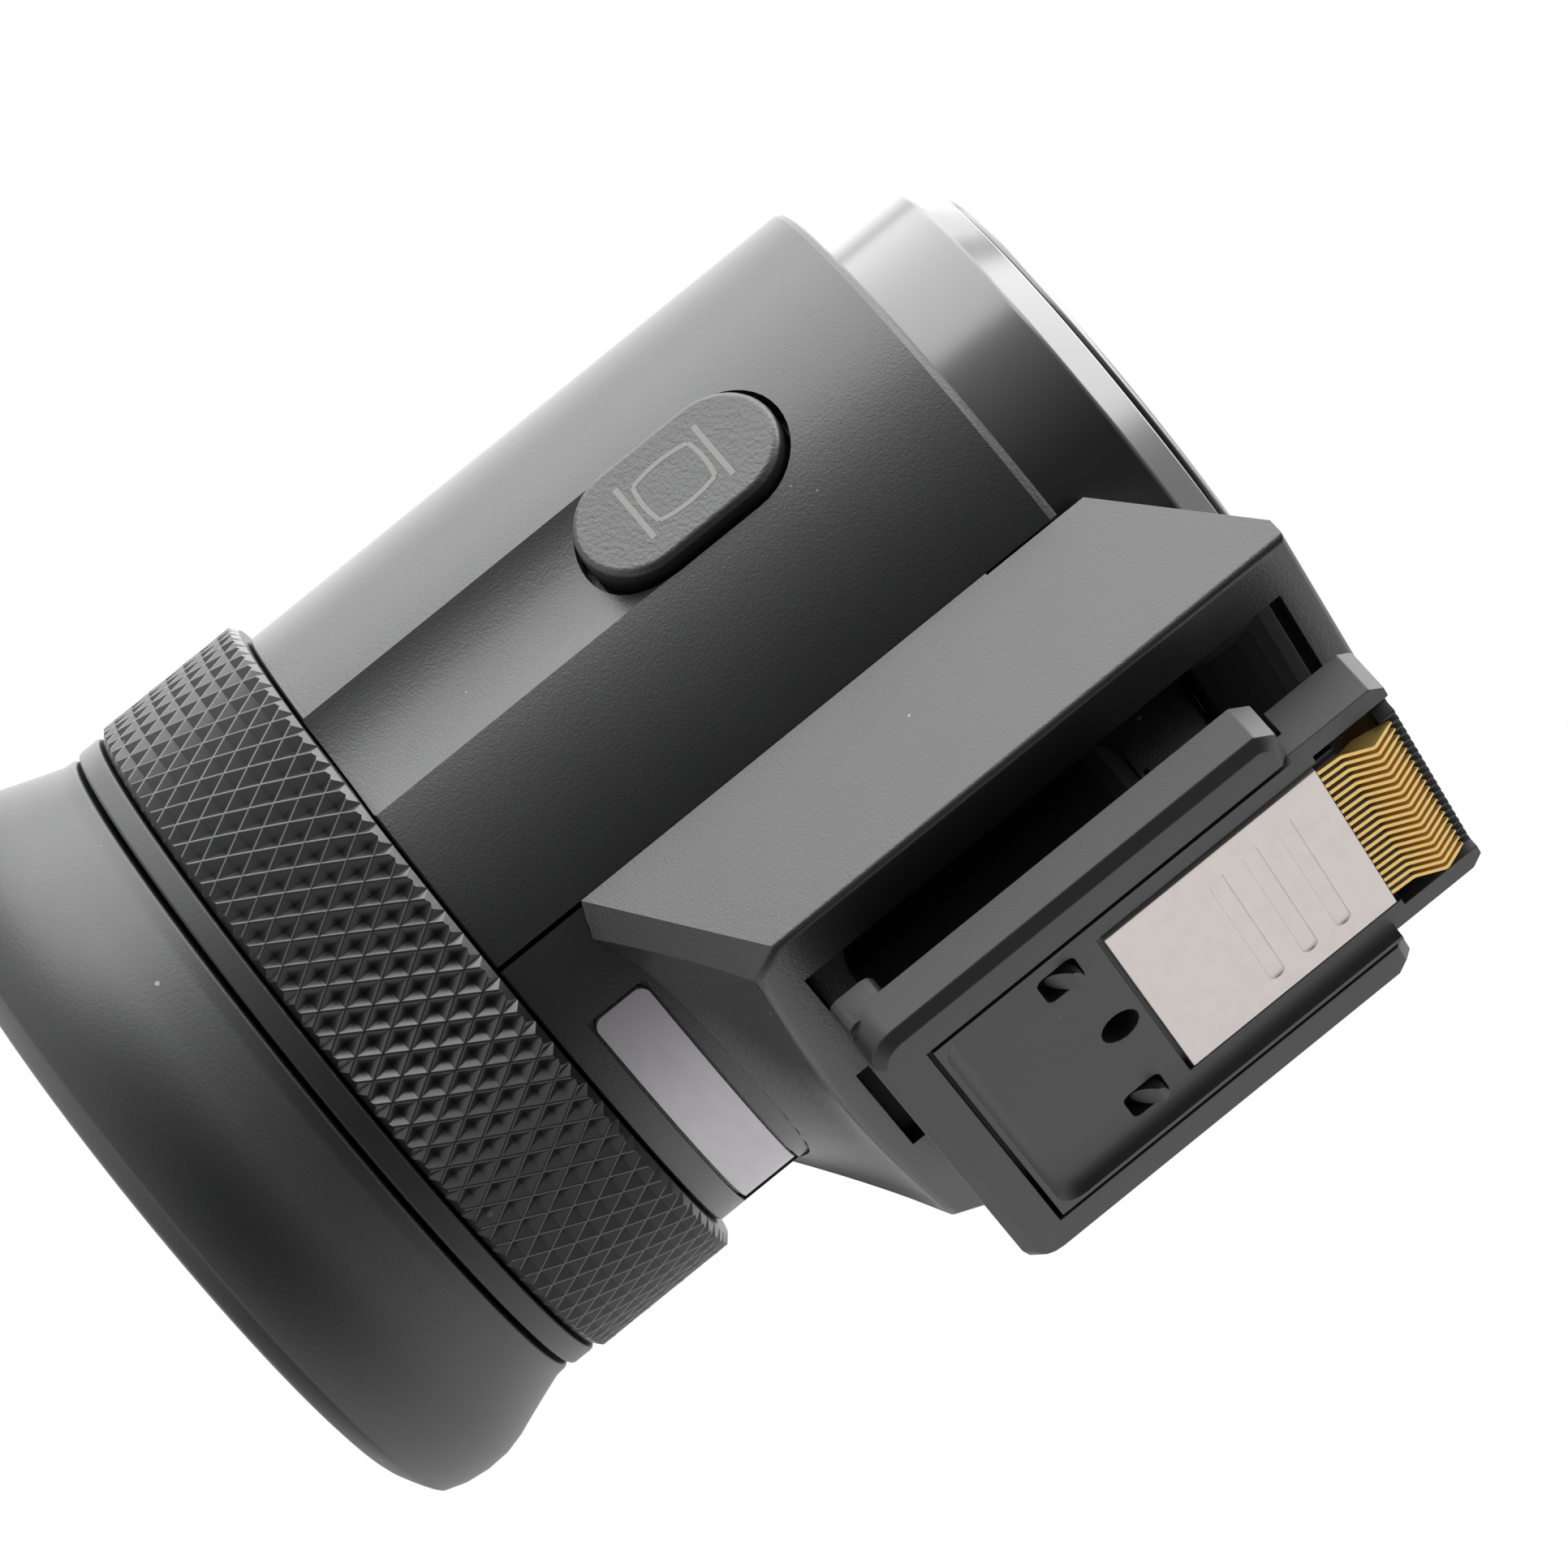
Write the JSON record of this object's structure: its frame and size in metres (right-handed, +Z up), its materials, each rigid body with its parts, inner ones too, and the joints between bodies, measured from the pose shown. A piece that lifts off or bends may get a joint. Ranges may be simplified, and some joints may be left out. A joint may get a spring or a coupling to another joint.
{
  "type": "electronic viewfinder",
  "caption": "Slide-on electronic viewfinder: round barrel that tilts up from a shoe foot, with a rubber eyecup, a knurled dioptre ring and a display button.",
  "frame": {"origin": "middle of the foot's sole, where the foot lies on the bottom of a camera's accessory shoe", "axes": "+Z up from the shoe to the barrel, +Y along the optical axis towards the front of the camera, +X to the user's right"},
  "size_m": [0.0324, 0.0462, 0.0377],
  "materials": {
    "body_plastic": "fine-textured satin black",
    "gloss_plastic": "smooth gloss black",
    "ring_plastic": "satin black, diamond knurled",
    "eyecup_rubber": "matt black rubber",
    "foot_plastic": "satin dark grey",
    "tray_plastic": "satin dark grey",
    "button_plastic": "grained black",
    "plate_steel": "bare pressed steel",
    "contact_gold": "gold-plated springs in a black carrier",
    "label_foil": "satin silver foil",
    "plain_steel": "plain steel",
    "bracket_steel": "black-coated steel",
    "washer_plastic": "natural nylon",
    "inner_plastic": "dull black",
    "coated_glass": "coated clear glass",
    "display_glass": "dark display glass",
    "backlight_plastic": "white diffuser",
    "board_plastic": "green solder mask",
    "chip_plastic": "black epoxy",
    "switch_steel": "stamped steel",
    "flex_film": "amber film"
  },
  "bodies": {
    "base": {"foot_flange": "foot_plastic", "foot_neck": "inner_plastic", "contact_tray": "tray_plastic", "contact_comb": "contact_gold", "contact_plate": "plate_steel", "contact_flex": "flex_film", "base_housing": "body_plastic", "hinge_pin_left": "plain_steel", "hinge_pin_right": "plain_steel", "friction_washer_left": "washer_plastic", "friction_washer_right": "washer_plastic", "neck_screw_1": "plain_steel", "neck_screw_2": "plain_steel", "neck_screw_3": "plain_steel", "neck_screw_4": "plain_steel"},
    "barrel": {"barrel_shell": "body_plastic", "lower_panel": "body_plastic", "blank_label": "label_foil", "hinge_bracket": "bracket_steel", "hinge_drum": "body_plastic", "front_cap": "gloss_plastic", "front_disc": "gloss_plastic", "eyepiece_tube": "inner_plastic", "eyepiece_window": "coated_glass", "eyecup_ring": "ring_plastic", "eyecup": "eyecup_rubber", "display_holder": "inner_plastic", "display_panel": "display_glass", "backlight_unit": "backlight_plastic", "main_board": "board_plastic", "video_chip": "chip_plastic", "display_flex": "flex_film", "switch_board": "board_plastic", "tact_switch": "switch_steel"},
    "ring": {"diopter_ring": "ring_plastic"},
    "cell": {"lens_cell": "inner_plastic", "eye_lens": "coated_glass", "field_lens": "coated_glass", "lens_spacer": "inner_plastic", "lens_retainer": "inner_plastic", "cam_pin": "plain_steel"},
    "button": {"display_button": "button_plastic"}
  },
  "joints": [
    {"name": "barrel_tilt", "type": "hinge", "parent": "base", "child": "barrel", "pos_m": [0, 0.00985, 0.0096], "axis": [-1, 0, 0], "range_deg": [0, 90]},
    {"name": "diopter_turn", "type": "hinge", "parent": "barrel", "child": "ring", "pos_m": [0, -0.0203, 0.0212], "axis": [0, 1, 0], "range_deg": [-75, 75]},
    {"name": "cell_slide", "type": "slide", "parent": "barrel", "child": "cell", "axis": [0, 1, 0], "range_m": [-0.0013, 0.0013]},
    {"name": "button_press", "type": "slide", "parent": "barrel", "child": "button", "axis": [-0.9998, 0, 0.0175], "range_m": [0, 0.0004], "stiffness_N_per_m": 400, "springref_m": -0.0002}
  ],
  "couplings": [
    {"joint": "diopter_turn", "follows": "cell_slide", "rad_per_m": 1000}
  ]
}
